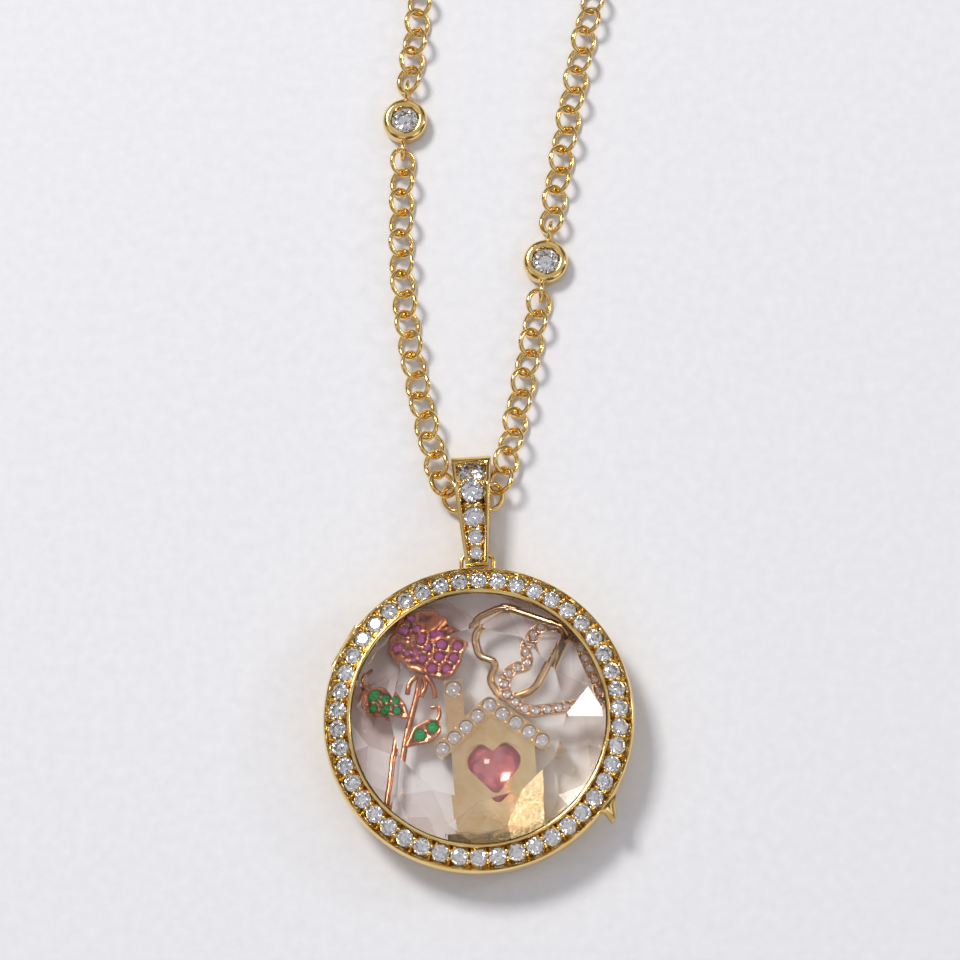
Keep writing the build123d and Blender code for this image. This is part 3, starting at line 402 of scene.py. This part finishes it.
def link_ring(ring_steps, wire_steps):
    """A round wire ring in the level plane, about the origin."""
    ring = bmesh.new()
    bmesh.ops.create_circle(ring, radius=LINK_WIRE / 2 * MM, segments=wire_steps)
    bmesh.ops.rotate(ring, verts=ring.verts, cent=(0, 0, 0), matrix=Matrix.Rotation(math.pi / 2, 3, "X"))
    bmesh.ops.translate(ring, verts=ring.verts, vec=(LINK_RADIUS * MM, 0, 0))
    bmesh.ops.spin(
        ring, geom=ring.verts[:] + ring.edges[:], cent=(0, 0, 0), axis=(0, 0, 1),
        angle=2 * math.pi, steps=ring_steps, use_merge=True,
    )
    bmesh.ops.recalc_face_normals(ring, faces=ring.faces)
    return ring


def smooth_line(points):
    """The points of a smooth spline through a route, read from its curve."""
    curve = bpy.data.curves.new("route", "CURVE")
    curve.dimensions = "3D"
    spline = curve.splines.new("NURBS")
    spline.points.add(len(points) - 1)
    for spot, (x, y) in zip(spline.points, points):
        spot.co = (x * MM, y * MM, LINK_HEIGHT * MM, 1)
    spline.order_u = 3
    spline.use_endpoint_u = True
    spline.resolution_u = ROUTE_STEPS
    holder = bpy.data.objects.new("route", curve)
    line = bpy.data.meshes.new_from_object(holder)
    places = [vertex.co.copy() for vertex in line.vertices]
    bpy.data.objects.remove(holder)
    bpy.data.curves.remove(curve)
    bpy.data.meshes.remove(line)
    return places


def along_line(line, distances):
    """Each distance's point on the line and the direction there."""
    found = []
    walked, number = 0.0, 0
    for distance in distances:
        while number < len(line) - 2 and walked + (line[number + 1] - line[number]).length < distance:
            walked += (line[number + 1] - line[number]).length
            number += 1
        way = (line[number + 1] - line[number]).normalized()
        found.append((line[number] + way * (distance - walked), way))
    return found


def visible_links():
    """A round ring of full wire in the place and plane of each of the model's links, which keep a gap."""
    rested = Matrix.Translation((0, 0, LINK_LIFT * MM))
    places = []
    for spots in islands("chain_links"):
        middle = sum(spots, Vector()) / len(spots)
        places.append(rested @ standing(middle, flat_direction(spots, middle)))
    rings = repeated(link_ring(*VISIBLE_LINK_STEPS), places)
    return piece_from(rings, "visible_links", yellow_gold)


def back_chain(name, lead, side):
    """Round links from the visible strand's end, round the neck and up to the clasp."""
    turns = [math.radians(angle) for angle in NECK_ANGLES]
    middle_x, middle_y = NECK_CENTRE
    neck = [
        (middle_x + side * NECK_RADIUS * math.cos(turn), middle_y + NECK_RADIUS * math.sin(turn))
        for turn in turns
    ]
    to_clasp = CLASP_LENGTH / 2 + LINK_RADIUS * CLASP_REACH
    end = (middle_x + side * to_clasp, middle_y + NECK_RADIUS)
    start = Vector(lead[1])
    way = (start - Vector(lead[0])).normalized()
    first = start + way * (LINK_PITCH - LINK_RADIUS)
    line = smooth_line([tuple(first)] + lead[2:] + neck + [end])
    length = sum((b - a).length for a, b in zip(line, line[1:]))
    count = round(length / (LINK_PITCH * MM))
    distances = [length * step / count for step in range(count + 1)]
    places = []
    for number, (spot, direction) in enumerate(along_line(line, distances)):
        across = Vector((0, 0, 1)).cross(direction).normalized()
        level = Matrix((direction, across, direction.cross(across))).transposed().to_4x4()
        turn = math.radians(LINK_TURN if number % 2 else -LINK_TURN)
        places.append(Matrix.Translation(spot) @ level @ Matrix.Rotation(turn, 4, "X"))
    return piece_from(repeated(link_ring(*BACK_LINK_STEPS), places), name, yellow_gold)


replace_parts(visible_links(), "chain_links")
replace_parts(back_chain("neck_links_right", BACK_RIGHT, 1), "chain_back_right")
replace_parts(back_chain("neck_links_left", BACK_LEFT, -1), "chain_back_left")


# Castings


def stones_of(node):
    """Top centre, upward axis and width of each loose stone of a node, in metres."""
    found = []
    for spots in islands(node):
        spots.sort(key=lambda spot: spot.z)
        middle = sum(spots, Vector()) / len(spots)
        axis = (middle - spots[0]).normalized()
        rise = max((spot - spots[0]).dot(axis) for spot in spots)
        reach = max((spot - middle - axis * (spot - middle).dot(axis)).length for spot in spots)
        found.append((spots[0] + axis * rise, axis, 2 * reach))
    return found


def rounded_casting(node, stone_nodes, name, material, body="case"):
    """A copy of a casting whose outer edges are rounded; the rims of its stone seats stay crisp."""
    stones = [stone for stone_node in stone_nodes for stone in stones_of(stone_node)]
    shape = bmesh.new()
    shape.from_mesh(frame["nodes"][node].data)
    bmesh.ops.remove_doubles(shape, verts=shape.verts, dist=CASTING_WELD * MM)

    def outer(edge):
        middle = (edge.verts[0].co + edge.verts[1].co) / 2
        return (
            edge.is_manifold and edge.is_convex and edge.calc_face_angle(0) > math.radians(ROUNDED_ABOVE)
            and not any((middle - spot).length < width / 2 + SEAT_RIM * MM for spot, _, width in stones)
        )

    bmesh.ops.bevel(
        shape, geom=[edge for edge in shape.edges if outer(edge)], offset=EDGE_BEVELS[node] * MM,
        segments=2, profile=0.5, affect="EDGES", clamp_overlap=False, material=-1,
    )
    for face in shape.faces:
        face.smooth = True
    piece = piece_from(shape, name, material, body)
    piece.data.set_sharp_from_angle(angle=math.radians(CRISP_ABOVE))
    flats = piece.modifiers.new("flat_faces", "WEIGHTED_NORMAL")
    flats.weight = FLAT_FACE_WEIGHT
    flats.keep_sharp = True
    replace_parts(piece, node)


BAIL_STONES = [f"bail_stone_{number}" for number in range(1, 6)]
ROSE_STONES = ["rose_sapphires", "rose_emeralds"]
rounded_casting("bezel", ["bezel_stones"], "lid_casting", yellow_gold, "lid")
rounded_casting("bail", BAIL_STONES, "bail_casting", yellow_gold)
rounded_casting("rose_charm", ROSE_STONES, "rose_casting", rose_gold)
rounded_casting(
    "set_heart_charm", ["set_heart_diamonds"], "set_heart_casting", light_rose_gold,
)


# Grains: the small raised beads that hold the stones


def ring_of_neighbours(stones):
    """Pairs of neighbours of a closed row, found by walking from each stone to the nearest one left."""
    stones = list(stones)
    row = [stones.pop(0)]
    while stones:
        stones.sort(key=lambda stone: (stone[0] - row[-1][0]).length)
        row.append(stones.pop(0))
    return list(zip(row, row[1:] + row[:1]))


def beside(pair, across, rise):
    """Frames to the left and right of the middle between two stones, or one at the middle itself."""
    (one, axis_one, _), (two, axis_two, _) = pair
    axis = (axis_one + axis_two).normalized()
    sideways = axis.cross((two - one).normalized())
    middle = (one + two) / 2 + axis * rise * MM
    shares = (-1, 1) if across else (0,)
    return [standing(middle + sideways * across * MM * share, axis) for share in shares]


def between(pairs, row):
    """Frames for a row's grains between each two neighbours."""
    return [place for pair in pairs for place in beside(pair, row.across, row.rise)]


def grains(name, places, width, material, body="case"):
    """A low round-topped grain on a short stem at each place."""
    bead = bmesh.new()
    bmesh.ops.create_icosphere(bead, subdivisions=2, radius=width / 2 * MM)
    bmesh.ops.scale(bead, verts=bead.verts, vec=(1, 1, GRAIN_FLATNESS))
    stem = Matrix.Translation((0, 0, -GRAIN_STEM / 2 * MM))
    bmesh.ops.create_cone(
        bead, cap_ends=True, segments=STEM_SIDES, radius1=width * STEM_FOOT * MM,
        radius2=width * STEM_NECK * MM, depth=GRAIN_STEM * MM, matrix=stem,
    )
    return piece_from(repeated(bead, places), name, material, body)


lid_row = sorted(stones_of("bezel_stones"), key=lambda stone: math.atan2(stone[0].y, stone[0].x))
lid_places = between(zip(lid_row, lid_row[1:] + lid_row[:1]), LID_GRAINS)
grains("lid_grains", lid_places, LID_GRAINS.width, yellow_gold, "lid")

bail_row = [stones_of(node)[0] for node in BAIL_STONES]
bail_places = []
for pair, across in zip(zip(bail_row, bail_row[1:]), BAIL_GRAINS.across):
    bail_places += beside(pair, across, BAIL_GRAINS.rise)
grains("bail_grains", bail_places, BAIL_GRAINS.width, yellow_gold)

# The house's widest stone sits on the chimney, and the others run along the roof
roof_row = sorted(stones_of("house_diamonds"), key=lambda stone: stone[2])[:-1]
roof_row.sort(key=lambda stone: stone[0].x)
roof_places = between(zip(roof_row, roof_row[1:]), ROOF_GRAINS)
grains("roof_grains", roof_places, ROOF_GRAINS.width, pale_gold)

band_places = between(ring_of_neighbours(stones_of("set_heart_diamonds")), BAND_GRAINS)
grains("set_heart_grains", band_places, BAND_GRAINS.width, light_rose_gold)

rose_stones = [stone for node in ROSE_STONES for stone in stones_of(node)]
rose_pairs = [
    (one, two)
    for number, one in enumerate(rose_stones) for two in rose_stones[number + 1:]
    if (one[0] - two[0]).length < ROSE_NEIGHBOURS * MM
]
# The rose's grains take the paler rose gold of the set heart rather than the rose's own: a painted
# highlight
grains("rose_grains", between(rose_pairs, ROSE_GRAINS), ROSE_GRAINS.width, light_rose_gold)


# Studio


def aim(target_object, place, target):
    """Sets an object at a place, its -Z towards the target and its Y as near to +Y as can be."""
    place, target = Vector(place) * MM, Vector(target) * MM
    back = (place - target).normalized()
    right = Vector((0, 1, 0)).cross(back).normalized()
    turned = Matrix((right, back.cross(right), back)).transposed().to_4x4()
    target_object.matrix_world = Matrix.Translation(place) @ turned


def softbox(name, place, size, watts, colour):
    """A square lamp with an even face, aimed at the locket."""
    light = bpy.data.lights.new(name, "AREA")
    light.shape = "SQUARE"
    light.size = size * MM
    light.energy = watts
    light.color = linear(colour)[:3]
    aim(placed(name, light), place, LAMP_TARGET)


for lamp in LAMPS:
    softbox(*lamp)

world = bpy.data.worlds.new("studio")
world.use_nodes = True
bpy.context.scene.world = world
sky = world.node_tree
sky.nodes.clear()
direction = add(sky, "ShaderNodeTexCoord").outputs["Generated"]
sides = add(sky, "ShaderNodeSeparateXYZ", {"Vector": direction}).outputs
tones = add(sky, "ShaderNodeValToRGB", {"Fac": sides["Z"]})
stops = tones.color_ramp.elements
for position, _ in SKY[2:]:
    stops.new(position)
for number, (position, colour) in enumerate(SKY):
    stops[number].position = position
    stops[number].color = linear(colour)
bearing = add(sky, "ShaderNodeMath", {0: sides["Y"], 1: sides["X"]}, operation="ARCTAN2")
round_room = add(sky, "ShaderNodeMath", {0: bearing.outputs["Value"], 1: WALL_PANELS}, operation="MULTIPLY")
wave = add(sky, "ShaderNodeMath", {0: round_room.outputs["Value"]}, operation="SINE")
panel = add(sky, "ShaderNodeMapRange", {
    "Value": wave.outputs["Value"], "From Min": -PANEL_EDGE, "From Max": PANEL_EDGE,
    "To Min": DARK_PANEL, "To Max": LIGHT_PANEL,
})
overhead = add(sky, "ShaderNodeMapRange", {
    "Value": sides["Z"], "From Min": WALL_TOP, "From Max": WALL_TOP + WALL_FADE,
})
lit = add(sky, "ShaderNodeMix", {
    "Factor": overhead.outputs["Result"], "A": panel.outputs["Result"], "B": 1.0,
})
strength = add(sky, "ShaderNodeMath", {0: lit.outputs["Result"], 1: SKY_STRENGTH}, operation="MULTIPLY")
shell = add(sky, "ShaderNodeBackground", {
    "Color": tones.outputs["Color"], "Strength": strength.outputs["Value"],
})
add(sky, "ShaderNodeOutputWorld", {"Surface": shell.outputs["Background"]})

table = bmesh.new()
bmesh.ops.create_grid(table, x_segments=1, y_segments=1, size=PAPER_HALF_SIDE * MM)
bmesh.ops.translate(table, verts=table.verts, vec=(0, PAPER_SHIFT * MM, PAPER_LEVEL * MM))
mesh = bpy.data.meshes.new("table_paper")
table.to_mesh(mesh)
table.free()
mesh.materials.append(sheet)
floor = placed("table_paper", mesh)

camera_data = bpy.data.cameras.new("camera")
camera_data.lens = CAMERA_LENS
camera_data.sensor_width = CAMERA_SENSOR
camera_data.clip_start = CAMERA_CLIP * MM
camera = placed("camera", camera_data)
aim(camera, CAMERA_PLACE, CAMERA_TARGET)
bpy.context.scene.camera = camera
bpy.context.scene.view_settings.view_transform = "Standard"
